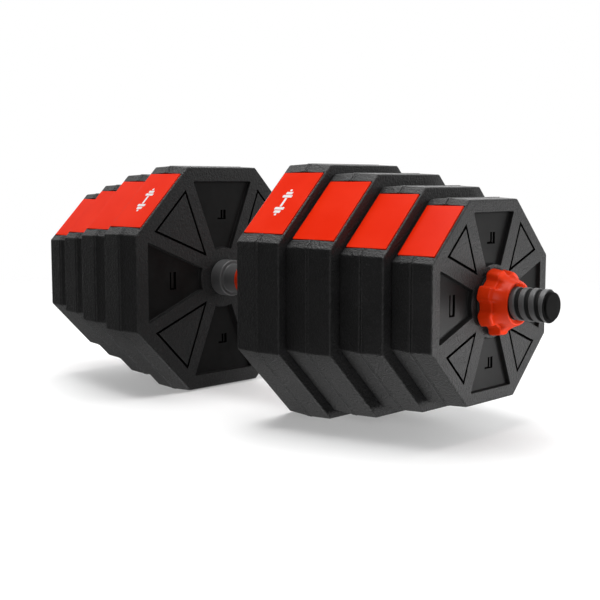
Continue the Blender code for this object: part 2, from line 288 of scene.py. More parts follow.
def grown(outline, amount):
    """A closed anticlockwise outline with every side moved outward by the same amount."""
    points = np.array(outline, float)
    ahead = np.roll(points, -1, 0) - points
    ahead /= np.linalg.norm(ahead, axis=1)[:, None]
    normal = np.stack([ahead[:, 1], -ahead[:, 0]], 1)
    behind = np.roll(normal, 1, 0)
    share = 1 + (normal * behind).sum(1)
    return points + (normal + behind) * (amount / share)[:, None]


def rounded(corners, radius, steps=4):
    """A closed outline with its corners rounded; radius is one number, or one for each corner."""
    radii = np.broadcast_to(radius, len(corners))
    points = [np.array(corner, float) for corner in corners]
    result = []
    for index, (corner, r) in enumerate(zip(points, radii)):
        if r <= 0:
            result.append(tuple(corner))
            continue
        before = points[index - 1] - corner
        after = points[(index + 1) % len(points)] - corner
        before /= np.linalg.norm(before)
        after /= np.linalg.norm(after)
        half = np.arccos(np.clip(before @ after, -1, 1)) / 2
        middle = (before + after) / np.linalg.norm(before + after)
        centre = corner + middle * (r / sin(half))
        start = corner + before * (r / tan(half)) - centre
        turn = (pi - 2 * half) * (1 if before[0] * after[1] - before[1] * after[0] < 0 else -1)
        for step in range(steps + 1):
            c, s = cos(turn * step / steps), sin(turn * step / steps)
            result.append(tuple(centre + (start[0] * c - start[1] * s, start[0] * s + start[1] * c)))
    return result


def spun(outline, angle):
    """An outline turned about the origin."""
    c, s = cos(angle), sin(angle)
    return [(x * c - y * s, x * s + y * c) for x, y in outline]


def circle(radius, steps):
    """Outline of a circle about the origin."""
    return [(radius * cos(2 * pi * k / steps), radius * sin(2 * pi * k / steps)) for k in range(steps)]


def edge_profile(radius, steps=EDGE_STEPS):
    """Rounded top edge as (grow, drop) pairs, from the flat surface over to the wall."""
    angles = [pi / 2 * k / steps for k in range(steps + 1)]
    return [(radius * (1 - sin(a)), radius * (1 - cos(a))) for a in angles]


def turned(profile, steps):
    """Closed (radius, height) profile, anticlockwise with the radius to the right, turned about local Z."""
    skin = Skin()
    rings = [skin.ring(circle(radius, steps), height) for radius, height in profile]
    for first, second in zip(rings, rings[1:] + rings[:1]):
        skin.wall(first, second)
    return skin


# Placing -------------------------------------------------------------------------------------------
AXIS_HEIGHT = sum(corner.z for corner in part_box("core_tube")) / 2


def end_matrix(side):
    """From an end's frame to the row frame."""
    sense = SENSES[side]
    turn = Matrix(((0, 0, sense), (0, -sense, 0), (1, 0, 0)))
    return Matrix.Translation((0, 0, AXIS_HEIGHT)) @ turn.to_4x4()


def reach(node):
    """Nearest and furthest distance of a CAD node from the bar's middle, along the bar."""
    low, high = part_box(node)
    return min(abs(low.x), abs(high.x)), max(abs(low.x), abs(high.x))


def half_height(node):
    """Half the height of a CAD node's box: its radius, or the distance to a plate's flat."""
    low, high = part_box(node)
    return (high.z - low.z) / 2


def add_piece(
    name, skin, matrix, body, material, node=None, sharp=SHARP_ANGLE, weighted=True, more=(),
):
    """Make a piece of a skin, put it in the row frame, hang it on the body it rides on, and hide the CAD
    node it stands in for.
    """
    mesh = skin.mesh(name)
    mesh.transform(matrix)
    mesh.shade_smooth()
    mesh.set_sharp_from_angle(angle=radians(sharp))
    for each in (material, *more):
        mesh.materials.append(MATERIALS[each])
    piece = bpy.data.objects.new(name, mesh)
    bpy.context.scene.collection.objects.link(piece)
    if weighted:
        modifier = piece.modifiers.new("weighted", "WEIGHTED_NORMAL")
        modifier.keep_sharp = True
        modifier.weight = NORMAL_WEIGHT
    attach(piece, body)
    if node:
        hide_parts(node)
    return piece


# Materials -----------------------------------------------------------------------------------------
class Nodes:
    """Helpers that add nodes to one tree."""

    def __init__(self, tree):
        self.tree = tree

    def node(self, kind, **values):
        node = self.tree.nodes.new(kind)
        for key, value in values.items():
            setattr(node, key, value)
        return node

    def link(self, output, target):
        self.tree.links.new(output, target)

    def ranged(self, value, low, high, from_low=0.0, from_high=1.0, curve="LINEAR"):
        """A value carried from one range to another and kept inside it."""
        node = self.node("ShaderNodeMapRange", interpolation_type=curve)
        node.inputs["From Min"].default_value = from_low
        node.inputs["From Max"].default_value = from_high
        node.inputs["To Min"].default_value = low
        node.inputs["To Max"].default_value = high
        self.link(value, node.inputs["Value"])
        return node.outputs["Result"]

    def math(self, operation, first, second):
        """Result of a Math node; each operand is an output or a float."""
        node = self.node("ShaderNodeMath", operation=operation)
        for socket, value in zip(node.inputs, (first, second)):
            if isinstance(value, float):
                socket.default_value = value
            else:
                self.link(value, socket)
        return node.outputs["Value"]

    def mixed(self, share, first, second):
        """Mix of two colours, each an output or three numbers."""
        node = self.node("ShaderNodeMix", data_type="RGBA")
        self.link(share, node.inputs["Factor"])
        for index, colour in ((MIX_A, first), (MIX_B, second)):
            if isinstance(colour, tuple):
                node.inputs[index].default_value = (*colour, 1)
            else:
                self.link(colour, node.inputs[index])
        return node.outputs[MIX_RESULT]

    def blended(self, share, first, second):
        """Mix of two shaders."""
        node = self.node("ShaderNodeMixShader")
        self.link(share, node.inputs["Fac"])
        self.link(first, node.inputs[1])
        self.link(second, node.inputs[2])
        return node.outputs["Shader"]


class Paint(Nodes):
    """A Principled material with helpers for the nodes behind its sockets."""

    def __init__(self, name, roughness, metallic=0.0, specular=0.5):
        self.material = bpy.data.materials.new(name)
        self.material.use_nodes = True
        super().__init__(self.material.node_tree)
        self.shader = self.tree.nodes["Principled BSDF"]
        self.shader.inputs["Roughness"].default_value = roughness
        self.shader.inputs["Metallic"].default_value = metallic
        self.shader.inputs["Specular IOR Level"].default_value = specular
        self.where = self.node("ShaderNodeTexCoord").outputs["Object"]

    def stretched(self, scale):
        """Object coordinates, stretched."""
        mapping = self.node("ShaderNodeMapping")
        mapping.inputs["Scale"].default_value = scale
        self.link(self.where, mapping.inputs["Vector"])
        return mapping.outputs["Vector"]

    def noise(self, scale, detail=3.0, rough=0.5, where=None):
        node = self.node("ShaderNodeTexNoise")
        node.inputs["Scale"].default_value = scale
        node.inputs["Detail"].default_value = detail
        node.inputs["Roughness"].default_value = rough
        self.link(where or self.where, node.inputs["Vector"])
        return node.outputs["Fac"]

    def cells(self, scale, feature="F1"):
        node = self.node("ShaderNodeTexVoronoi", feature=feature)
        node.inputs["Scale"].default_value = scale
        self.link(self.where, node.inputs["Vector"])
        return node.outputs["Distance"]

    def clouded(self, value, first, second, low=0.3, high=0.7):
        """Colour that goes from the first to the second as the value goes from low to high."""
        return self.mixed(self.ranged(value, 0, 1, low, high), first, second)

    def bump(self, height, distance, strength=1.0, normal=None):
        node = self.node("ShaderNodeBump")
        node.inputs["Distance"].default_value = distance
        node.inputs["Strength"].default_value = strength
        self.link(height, node.inputs["Height"])
        if normal:
            self.link(normal, node.inputs["Normal"])
        return node.outputs["Normal"]

    def finish(self, colour, normal=None, roughness=None):
        """Link what was made to the shader."""
        self.link(colour, self.shader.inputs["Base Color"])
        if normal:
            self.link(normal, self.shader.inputs["Normal"])
        if roughness:
            self.link(roughness, self.shader.inputs["Roughness"])
        return self.material


def shell_plastic():
    """Black plastic with a moulded grain and faint handling marks."""
    paint = Paint("shell_plastic", 0.55, specular=0.5)
    grain = paint.cells(900.0, "SMOOTH_F1")
    fine = paint.noise(1600.0, 2.0)
    broad = paint.noise(38.0, 4.0, 0.6)
    mottle = paint.noise(520.0, 2.5, 0.6)
    colour = paint.clouded(broad, (0.007, 0.007, 0.0073), (0.011, 0.011, 0.0113), 0.35, 0.65)
    normal = paint.bump(mottle, 0.0010, 1.0, paint.bump(paint.math("ADD", grain, fine), 0.00022))
    return paint.finish(colour, normal, paint.ranged(broad, 0.50, 0.58, 0.3, 0.7))


def pocket_plastic():
    """The same plastic where the mould was polished: smoother, and with little sheen."""
    paint = Paint("pocket_plastic", 0.42, specular=0.10)
    broad = paint.noise(45.0, 4.0, 0.6)
    colour = paint.clouded(broad, (0.010, 0.010, 0.010), (0.015, 0.015, 0.015), 0.35, 0.65)
    normal = paint.bump(paint.noise(1200.0, 2.0), 0.00003, 0.4)
    return paint.finish(colour, normal, paint.ranged(broad, 0.36, 0.48, 0.3, 0.7))


def painted_pit_shade():
    """Painted shade: the same plastic made near black deep in a groove, a window or the label's recess,
    where little light gets in.
    """
    paint = Paint("painted_pit_shade", 0.8, specular=0.0)
    broad = paint.noise(200.0, 3.0)
    colour = paint.mixed(broad, (0.0012, 0.0012, 0.0012), (0.003, 0.003, 0.003))
    return paint.finish(colour, paint.bump(broad, 0.00003, 0.3))


def label_plastic():
    """Glossy red plastic of the labels."""
    paint = Paint("label_plastic", 0.2, specular=0.05)
    broad = paint.noise(30.0, 3.0)
    colour = paint.clouded(broad, (0.84, 0.022, 0.002), (0.89, 0.028, 0.004))
    normal = paint.bump(paint.noise(700.0, 2.0), 0.00003, 0.35)
    return paint.finish(colour, normal, paint.ranged(broad, 0.19, 0.26, 0.3, 0.7))


def nut_plastic():
    """Red plastic of the nuts, a little duller than the labels."""
    paint = Paint("nut_plastic", 0.34, specular=0.12)
    broad = paint.noise(70.0, 4.0)
    colour = paint.clouded(broad, (0.76, 0.034, 0.003), (0.82, 0.042, 0.005))
    normal = paint.bump(paint.noise(900.0, 3.0), 0.00006, 0.5)
    return paint.finish(colour, normal, paint.ranged(broad, 0.30, 0.38, 0.3, 0.7))


def grip_plastic():
    """Red plastic of the grips, dull with a fine grain."""
    paint = Paint("grip_plastic", 0.46, specular=0.16)
    broad = paint.noise(90.0, 4.0)
    colour = paint.clouded(broad, (0.74, 0.034, 0.003), (0.80, 0.042, 0.005))
    normal = paint.bump(paint.noise(1500.0, 3.0), 0.00005, 0.5)
    return paint.finish(colour, normal, paint.ranged(broad, 0.42, 0.54, 0.3, 0.7))


def bar_plastic():
    """Dark grey plastic of the bar's collars and middle band."""
    paint = Paint("bar_plastic", 0.42, specular=0.5)
    broad = paint.noise(55.0, 4.0)
    colour = paint.clouded(broad, (0.070, 0.070, 0.071), (0.090, 0.090, 0.091))
    normal = paint.bump(paint.noise(1100.0, 3.0), 0.00006, 0.5)
    return paint.finish(colour, normal, paint.ranged(broad, 0.38, 0.50, 0.3, 0.7))


def thread_plastic():
    """The bar's plastic on the thread: grey on the ridges, with painted shade turning it dull black between
    them.
    """
    paint = Paint("thread_plastic", 0.42, specular=0.4)
    parts = paint.node("ShaderNodeSeparateXYZ")
    paint.link(paint.where, parts.inputs["Vector"])
    up = paint.math("SUBTRACT", parts.outputs["Z"], float(AXIS_HEIGHT))
    squares = [paint.math("MULTIPLY", value, value) for value in (parts.outputs["Y"], up)]
    radius = paint.math("SQRT", paint.math("ADD", *squares), 0.0)
    rise = THREAD_R - ROOT_R
    past_groove_shade = paint.ranged(radius, 0, 1, ROOT_R + GROOVE_SHADE_FADE_START * rise, ROOT_R + GROOVE_SHADE_FADE_FULL * rise)
    grey = paint.clouded(paint.noise(120.0, 4.0, 0.6), (0.090, 0.090, 0.091), (0.115, 0.115, 0.116))
    # Painted shade: near black in the grooves, giving way to grey towards the crests by radius.
    colour = paint.mixed(past_groove_shade, (0.002, 0.002, 0.002), grey)
    normal = paint.bump(paint.noise(1100.0, 3.0), 0.00006, 0.5)
    return paint.finish(colour, normal, paint.ranged(past_groove_shade, 0.85, 0.44))


def cap_plastic():
    """Dull black plastic of the bar's ends."""
    paint = Paint("cap_plastic", 0.75, specular=0.04)
    broad = paint.noise(80.0, 4.0)
    colour = paint.clouded(broad, (0.005, 0.005, 0.005), (0.009, 0.009, 0.009))
    return paint.finish(colour, paint.bump(paint.noise(1100.0, 3.0), 0.00006, 0.5))


def seal_rubber():
    """Black rubber of the seals."""
    paint = Paint("seal_rubber", 0.78, specular=0.35)
    broad = paint.noise(120.0, 4.0)
    colour = paint.clouded(broad, (0.012, 0.012, 0.012), (0.022, 0.022, 0.021))
    normal = paint.bump(paint.noise(1300.0, 4.0), 0.00008, 0.6)
    return paint.finish(colour, normal)


def tube_steel():
    """Drawn steel, brushed along the bar."""
    paint = Paint("tube_steel", 0.34, metallic=1.0)
    streaks = paint.noise(60.0, 4.0, 0.6, paint.stretched((1, 22, 22)))
    colour = paint.mixed(streaks, (0.50, 0.51, 0.53), (0.60, 0.61, 0.62))
    return paint.finish(colour, paint.bump(streaks, 0.00003, 0.4), paint.ranged(streaks, 0.26, 0.44))


def cement():
    """Cast cement with sand grains and pores."""
    paint = Paint("cement", 0.9, specular=0.3)
    sand = paint.noise(700.0, 5.0, 0.65)
    pores = paint.cells(160.0)
    colour = paint.mixed(sand, (0.33, 0.32, 0.30), (0.50, 0.49, 0.46))
    normal = paint.bump(paint.math("MULTIPLY", sand, paint.ranged(pores, 0.2, 1, 0.05, 0.3)), 0.0006, 0.7)
    return paint.finish(colour, normal)


def mark_ink():
    """White ink of the pictograms."""
    paint = Paint("mark_ink", 0.45)
    broad = paint.noise(300.0, 3.0)
    colour = paint.mixed(broad, (0.80, 0.80, 0.79), (0.90, 0.90, 0.89))
    return paint.finish(colour, paint.bump(broad, 0.00002, 0.3))


MATERIALS = {
    maker.__name__: maker()
    for maker in (
        shell_plastic, pocket_plastic, painted_pit_shade, label_plastic, nut_plastic, grip_plastic, bar_plastic,
        thread_plastic, cap_plastic, seal_rubber, tube_steel, cement, mark_ink,
    )
}


# Plates --------------------------------------------------------------------------------------------
def octagon(flat, corner, marks=()):
    """Octagon with rounded corners; marks are points along the flat of the sector at angle 0."""
    points = [(flat, lateral) for lateral in marks]
    centre = (flat - corner) / cos(HALF_SECTOR)
    for sector in range(SECTORS):
        direction = sector * SECTOR + HALF_SECTOR
        for step in range(CORNER_STEPS + 1):
            angle = sector * SECTOR + SECTOR * step / CORNER_STEPS
            points.append((
                centre * cos(direction) + corner * cos(angle),
                centre * sin(direction) + corner * sin(angle),
            ))
    return points


def pocket_outline(flat, grow=0.0):
    """Pocket about local X: straight outside, on an arc of the hub inside, with rounded corners."""
    outer = flat * (1 - POCKET_BORDER)
    half_width = outer * tan(HALF_SECTOR) - POCKET_INSET / cos(HALF_SECTOR)
    half_arc = HALF_SECTOR - np.arcsin(POCKET_INSET / HUB_R)
    arc = [
        (HUB_R * cos(half_arc * share), HUB_R * sin(half_arc * share))
        for share in np.linspace(1, -1, HUB_STEPS + 1)
    ]
    corners = arc + [(outer, -half_width), (outer, half_width)]
    radii = [POCKET_CORNER_R] + [0] * (HUB_STEPS - 1) + [POCKET_CORNER_R] * 3
    outline = rounded(corners, radii, POCKET_CORNER_STEPS)
    return grown(outline, grow) if grow else outline


def triangle_outline(flat):
    """Grooved triangle about local X, its tip towards the hub."""
    base = flat * TRIANGLE_BASE
    half = (base - TRIANGLE_TIP_R) * tan(HALF_SECTOR) * TRIANGLE_WIDTH
    return [(TRIANGLE_TIP_R, 0), (base, -half), (base, half)]


def window_outline(flat, sense, number):
    """Latch window in the floor of a pocket: wide above and below the hub, and tall beside it."""
    corners = TALL_WINDOW if number % 2 else WIDE_WINDOW
    stamp = [(v * MM, -sense * (u * MM)) for u, v in corners]
    if outline_area(stamp) < 0:
        stamp.reverse()
    middle = (HUB_R + flat * (1 - POCKET_BORDER)) / 2
    x_middle, y_middle = middle * cos(QUARTERS[number]), middle * sin(QUARTERS[number])
    return [(x + x_middle, y + y_middle) for x, y in stamp]


def outline_area(outline):
    """Twice an outline's area, negative where it runs clockwise."""
    x, y = np.array(outline).T
    return float((x * np.roll(y, -1) - y * np.roll(x, -1)).sum())


def add_rim(skin, flat, depth, turn, half, recess):
    """Rim from the seam up to the face, with the label's recess left open.

    Returns all its rings, and those beside the recess.
    """
    edge_start = depth - FACE_EDGE_R
    share = (recess - SEAM_LIP) / (edge_start - SEAM_LIP)
    profile = [(inset * SEAM_CHAMFER, height * SEAM_CHAMFER) for inset, height in SEAM_CURVE]
    profile += [(0, SEAM_LIP), (SEAM_STEP, SEAM_LIP + SEAM_STEP)]
    profile += [(SEAM_STEP + (DRAFT - SEAM_STEP) * share, recess)]
    for k in range(EDGE_STEPS + 2):
        angle = pi / 2 * k / (EDGE_STEPS + 1)
        profile.append((DRAFT + FACE_EDGE_R * (1 - cos(angle)), edge_start + FACE_EDGE_R * sin(angle)))
    profile.sort(key=lambda pair: pair[1])
    rings = [
        skin.ring(spun(octagon(flat - inset, CORNER_R, (-half, half)), turn), height)
        for inset, height in profile
    ]
    open_rings = [ring for ring, (_, height) in zip(rings, profile) if height <= recess]
    for first, second in zip(rings, rings[1:]):
        skin.wall(first, second, skip=(0,) if second in open_rings else ())
    return rings, open_rings


def add_recess(skin, flat, turn, half, recess, open_rings):
    """Recess for the label: two ends, one side and a floor. Returns the floor's edge at the seam."""
    floor = flat - LABEL_SINK - LABEL_THICKNESS - GAP
    below, above = (
        skin.ring(spun([(floor, -half), (floor, half)], turn), height) for height in (0, recess)
    )
    made = len(skin.faces)
    skin.faces.append([ring[0] for ring in reversed(open_rings)] + [below[0], above[0]])
    skin.faces.append([ring[1] for ring in open_rings] + [above[1], below[1]])
    skin.faces.append((open_rings[-1][1], open_rings[-1][0], above[0], above[1]))
    skin.faces.append((below[0], below[1], above[1], above[0]))
    # The recess's ends, side and floor get the painted shade, standing in for the dark gap round the label.
    skin.paint(made, PAINTED_SHADE)
    return below


def add_pocket(skin, flat, depth, sense, number):
    """Pocket with its latch window. Returns its mouth in the face, and its back in the cavity's roof."""
    angle = QUARTERS[number]
    wall = edge_profile(POCKET_EDGE_R) + [
        (-POCKET_TAPER, POCKET_DEPTH - POCKET_EDGE_R), (-POCKET_TAPER - POCKET_EDGE_R, POCKET_DEPTH),
    ]
    made = len(skin.faces)
    mouth, floor = skin.loft(spun(pocket_outline(flat), angle), wall, depth)
    skin.paint(made, POLISHED)
    made = len(skin.faces)
    window = window_outline(flat, sense, number)
    lip, sill = skin.loft(window, [(0, POCKET_DEPTH), (0, POCKET_DEPTH + WINDOW_DEPTH)], depth)
    skin.cap(sill)
    # The latch window's walls and bottom get the painted shade, standing in for the dark inside of a deep
    # window.
    skin.paint(made, PAINTED_SHADE)
    made = len(skin.faces)
    skin.cap(floor, [lip])
    skin.paint(made, POLISHED)
    back = [(0, POCKET_DEPTH + POCKET_FLOOR), (0, FACE_WALL)]
    back_low, back_high = skin.loft(spun(pocket_outline(flat, POCKET_FLOOR), angle), back, depth)
    skin.cap(back_low, up=False)
    return mouth, back_high


def add_triangle(skin, flat, depth, angle):
    """Triangle outlined by a groove. Returns the groove's outer edge in the face."""
    groove = [
        (GROOVE_EDGE, 0), (0, GROOVE_EDGE), (-GROOVE_EDGE, GROOVE_DEPTH),
        (GROOVE_EDGE - GROOVE_WIDTH, GROOVE_DEPTH), (-GROOVE_WIDTH, GROOVE_EDGE),
        (-GROOVE_WIDTH - GROOVE_EDGE, 0),
    ]
    made = len(skin.faces)
    mouth, island = skin.loft(spun(triangle_outline(flat), angle), groove, depth)
    # The groove's walls and bottom get the painted shade, standing in for the shade deep in the groove.
    skin.paint(made, PAINTED_SHADE)
    skin.cap(island)
    return mouth


def shell_skin(flat, depth, sense, label_half, label_reach):
    """One half of a plate's casing, its seam at height 0 and its face at height depth."""
    skin = Skin()
    half = label_half + LABEL_GAP
    recess = label_reach + LABEL_GAP
    turn = sense * SECTOR
    rings, open_rings = add_rim(skin, flat, depth, turn, half, recess)
    below = add_recess(skin, flat, turn, half, recess, open_rings)

    # face, with pockets, grooved triangles and the bore
    pockets = [add_pocket(skin, flat, depth, sense, number) for number in range(len(QUARTERS))]
    holes = [mouth for mouth, _ in pockets]
    holes += [add_triangle(skin, flat, depth, angle + SECTOR) for angle in QUARTERS]
    bore = edge_profile(2 * POCKET_EDGE_R) + [(0, depth)]
    mouth, seam_bore = skin.loft(circle(BORE_R, BORE_STEPS), bore, depth)
    skin.cap(rings[-1], holes + [mouth])

    # inside: cavity, its roof between the backs of the pockets, and the wall of the bore
    backs = [back for _, back in pockets]
    cavity = octagon(flat - DRAFT - SHELL_WALL, CORNER_R)
    roof, seam_cavity = skin.loft(cavity, [(0, FACE_WALL), (0, depth)], depth)
    tube = circle(BORE_R + BORE_WALL, BORE_STEPS)
    tube_low, tube_top = skin.loft(tube, [(0, depth), (0, FACE_WALL)], depth)
    skin.cap(roof, backs + [tube_top], up=False)
    seam_outer = rings[0][:1] + below + rings[0][1:]
    skin.cap(seam_outer, [seam_cavity], up=False)
    skin.cap(tube_low, [seam_bore], up=False)
    return skin


def label_skin(half_width, half_length):
    """Label plate, lateral along X, along the bar in Y, its face up at height 0."""
    skin = Skin()
    corners = [
        (-half_width, -half_length), (half_width, -half_length), (half_width, half_length),
        (-half_width, half_length),
    ]
    outline = rounded(corners, LABEL_CORNER_R)
    profile = [(-grow, drop) for grow, drop in edge_profile(LABEL_EDGE_R)]
    profile.append((0, LABEL_THICKNESS))
    rings = [skin.ring(grown(outline, grow), -drop) for grow, drop in profile]
    for first, second in zip(rings, rings[1:]):
        skin.wall(second, first)
    skin.cap(rings[0])
    skin.cap(rings[-1], up=False)
    return skin


def mark_skin():
    """Plain dumbbell pictogram, standing a little above the label: seven bars side by side."""
    skin = Skin()
    for centre, half, tall in MARK_BARS:
        left, right = centre - half, centre + half
        corners = [(left, -tall), (right, -tall), (right, tall), (left, tall)]
        outline = rounded([(x * MM, y * MM) for x, y in corners], MARK_CORNER_R)
        low, high = skin.ring(outline, -MARK_SINK), skin.ring(outline, MARK_RISE)
        skin.wall(low, high)
        skin.cap(high)
        skin.cap(low, up=False)
    return skin


def label_matrix(side, flat, along):
    """Label frame: X lateral, Y along the bar, Z out of the label's flat."""
    angle = SENSES[side] * SECTOR
    out = Vector((cos(angle), sin(angle), 0))
    up = Vector((0, 0, 1))
    turn = Matrix((up.cross(out), up, out)).transposed().to_4x4()
    return end_matrix(side) @ Matrix.Translation(out * flat + up * along) @ turn


def add_plate(side, number):
    """The two halves of a plate's casing, its label and, on the innermost plate, the label's mark."""
    sense = SENSES[side]
    name = f"{side}_plate_{number}"
    start, inner_seam = reach(f"{name}_inner_shell")
    outer_seam, end = reach(f"{name}_outer_shell")
    flat = half_height(f"{name}_inner_shell")
    label_near, label_far = reach(f"{name}_label")
    label_top = flat - LABEL_SINK
    label_half = sqrt(2) * (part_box(f"{name}_label")[1].z - AXIS_HEIGHT) - label_top
    over = Matrix.Rotation(pi, 4, "X")
    halves = (
        ("outer", outer_seam, Matrix(), end - outer_seam, sense, label_far - outer_seam),
        ("inner", inner_seam, over, inner_seam - start, -sense, inner_seam - label_near),
    )
    for half, seam, turn, depth, turned_sense, label_reach in halves:
        skin = shell_skin(flat, depth, turned_sense, label_half, label_reach)
        matrix = end_matrix(side) @ Matrix.Translation((0, 0, seam)) @ turn
        add_piece(
            f"{name}_{half}_casing", skin, matrix, name, "shell_plastic", f"{name}_{half}_shell",
            more=("pocket_plastic", "painted_pit_shade"),
        )
    place = label_matrix(side, label_top, (label_near + label_far) / 2)
    skin = label_skin(label_half, (label_far - label_near) / 2)
    add_piece(
        f"{name}_label_plate", skin, place, name, "label_plastic", f"{name}_label",
    )
    if number == 1:
        add_piece(f"{name}_mark", mark_skin(), place, name, "mark_ink")


# Bar -----------------------------------------------------------------------------------------------
def thread_radius(angle, height):
    """Radius of the right-handed thread's surface at an angle and a height."""
    along = (height - THREAD_START) / PITCH - angle / (2 * pi)
    ridge = np.round(along)
    distance = np.abs(along - ridge) * PITCH
    done = ridge + angle / (2 * pi)
    share = np.clip((FOOT_HALF - distance) / (FOOT_HALF - CREST_HALF), 0, 1)
    share = share * share * (3 - 2 * share)
    fade = np.clip(done / THREAD_FADE, 0, 1)
    return ROOT_R + (THREAD_R - ROOT_R) * share * fade


def thread_ring(skin, height, play=0.0, sides=THREAD_SIDES, limit=inf):
    """Ring of the thread, moved out by the play and cut off at the limit."""
    angles = np.arange(sides) * 2 * pi / sides
    radius = np.minimum(thread_radius(angles, height) + play, limit)
    return skin.ring(np.stack([radius * np.cos(angles), radius * np.sin(angles)], 1), height)


def add_sleeve(side):
    """Threaded end of the bar, rounded over and dark at its very end."""
    node = f"{side}_threaded_sleeve"
    start, end = reach(node)
    skin = Skin()
    rings = []
    for height in list(np.arange(start, end - THREAD_STEP / 2, THREAD_STEP)) + [end]:
        over = max(0.0, height - (end - THREAD_BROW))
        limit = THREAD_R - THREAD_BROW + sqrt(max(0.0, THREAD_BROW**2 - over**2))
        rings.append(thread_ring(skin, height, limit=limit))
    for first, second in zip(rings, rings[1:]):
        skin.wall(first, second)
    made = next(
        index for index, face in enumerate(skin.faces) if skin.points[face[0]][2] > end - DARK_END
    )
    inside = [skin.ring(circle(TUBE_R + GAP, THREAD_SIDES), height) for height in (end, start)]
    for first, second in ((rings[-1], inside[0]), inside, (inside[1], rings[0])):
        skin.wall(first, second)
    skin.paint(made, SLEEVE_END)
    add_piece(
        f"{side}_thread", skin, end_matrix(side), "bar", "thread_plastic", node,
        weighted=False, more=("cap_plastic",),
    )


def add_end_cap(side):
    """Plug in the end of the bar."""
    node = f"{side}_end_cap"
    start, end = reach(node)
    radius = half_height(node)
    under = end - CAP_HEAD
    corners = [
        (CAP_CORE_R, start), (CAP_STEM_R, start), (CAP_STEM_R, under), (radius, under), (radius, end),
        (CAP_CORE_R, end),
    ]
    radii = [0, CAP_STEM_EDGE_R, 0, CAP_UNDER_EDGE_R, CAP_TOP_EDGE_R, 0]
    skin = turned(rounded(corners, radii), CAP_SIDES)
    close_axis(skin, CAP_CORE_R)
    add_piece(f"{side}_cap", skin, end_matrix(side), "bar", "cap_plastic", node)


def close_axis(skin, radius):
    """Take away the wall of this radius about the axis and close both ends with flat caps."""
    inner = [
        index for index, point in enumerate(skin.points) if abs(Vector(point[:2]).length - radius) < HAIR
    ]
    skin.faces = [face for face in skin.faces if not set(face) <= set(inner)]
    heights = sorted({skin.points[index][2] for index in inner})
    for height, up in ((heights[0], False), (heights[-1], True)):
        skin.cap([index for index in inner if skin.points[index][2] == height], up=up)


def add_hand_stop(side):
    """Collar between the grip and the plates, with a socket for the threaded sleeve."""
    node = f"{side}_hand_stop"
    start, end = reach(node)
    radius = half_height(node)
    shoulder = end - COLLAR_LENGTH
    bore = TUBE_R + GAP
    socket = ROOT_R + GAP
    floor = shoulder + COLLAR_FLOOR
    corners = [
        (bore, start), (COLLAR_NECK_R, start), (COLLAR_NECK_R, shoulder), (radius, shoulder),
        (radius, end), (socket, end), (socket, floor), (bore, floor),
    ]
    radii = [edge * MM for edge in COLLAR_EDGES_MM]
    skin = turned(rounded(corners, radii, ROUND_STEPS), ROUND_SIDES)
    add_piece(f"{side}_collar", skin, end_matrix(side), "bar", "bar_plastic", node)


def add_grip(side):
    """Knurled handle, full towards the middle band and narrower towards the collar."""
    node = f"{side}_grip"
    start, end = reach(node)
    full = half_height(node)
    sides = KNURLS * KNURL_SIDES
    angles = np.arange(sides) * 2 * pi / sides
    around = angles * KNURLS / (2 * pi)
    pitch = 2 * pi * full / KNURLS
    bore = circle(TUBE_R + GAP, sides)
    skin = Skin()
    rings = [skin.ring(bore, start), skin.ring(circle(full - GRIP_EDGE, sides), start)]
    for height in np.arange(start, end - GRIP_LIP / 2, pitch / KNURL_SIDES):
        along = (height - start) / (end - start)
        share = np.clip((along - GRIP_TAPER_START) / (1 - GRIP_TAPER_START), 0, 1)
        barrel = full - (full - GRIP_TIP_R) * share**2
        ends = np.clip(min(height - start, end - height) / GRIP_LIP, 0, 1)
        phase = (height - start) / pitch
        left = np.abs((around + phase) % 1 * 2 - 1)
        right = np.abs((around - phase) % 1 * 2 - 1)
        rise = np.minimum(left, right)
        radius = barrel - KNURL_DEPTH * (1 - rise) * ends - GRIP_END_DROP * (1 - ends)
        outline = np.stack([radius * np.cos(angles), radius * np.sin(angles)], 1)
        rings.append(skin.ring(outline, height + GRIP_START_GAP))
    rings.append(skin.ring(circle(GRIP_TIP_R - GRIP_LIP, sides), end))
    rings.append(skin.ring(bore, end))
    for first, second in zip(rings, rings[1:] + rings[:1]):
        skin.wall(first, second)
    add_piece(
        f"{side}_handle", skin, end_matrix(side), "bar", "grip_plastic", node,
        sharp=KNURL_SHARP_ANGLE, weighted=False,
    )


def add_centre_band():
    """Plain band between the two grips."""
    low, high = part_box("centre_band")
    radius = half_height("centre_band")
    bore = TUBE_R + GAP
    corners = [(bore, low.x), (radius, low.x), (radius, high.x), (bore, high.x)]
    skin = turned(rounded(corners, [0, BAND_EDGE_R, BAND_EDGE_R, 0], ROUND_STEPS), ROUND_SIDES)
    add_piece("middle_band", skin, end_matrix("right"), "bar", "bar_plastic", "centre_band")


# Nut and seal --------------------------------------------------------------------------------------
def lobed(radius, rise):
    """Outline of the nut: broad lobes, with narrow flutes between them."""
    angles = np.arange(NUT_SIDES) * 2 * pi / NUT_SIDES
    wave = np.tanh(LOBE_STEEPNESS * np.cos(NUT_LOBES * (angles - NUT_PHASE)) + LOBE_WIDENING)
    radii = radius + rise * wave
    return np.stack([radii * np.cos(angles), radii * np.sin(angles)], 1)


def add_seal(side):
    """Ring between the nut and the outermost plate."""
    node = f"{side}_nut_seal"
    start, end = reach(node)
    radius = half_height(node)
    corners = [(BORE_R, start), (radius, start), (radius, end), (BORE_R, end)]
    radii = [SEAL_INNER_EDGE_R, SEAL_OUTER_EDGE_R, SEAL_OUTER_EDGE_R, SEAL_INNER_EDGE_R]
    skin = turned(rounded(corners, radii), ROUND_SIDES)
    add_piece(
        f"{side}_seal_ring", skin, end_matrix(side), f"{side}_seal", "seal_rubber", node,
    )


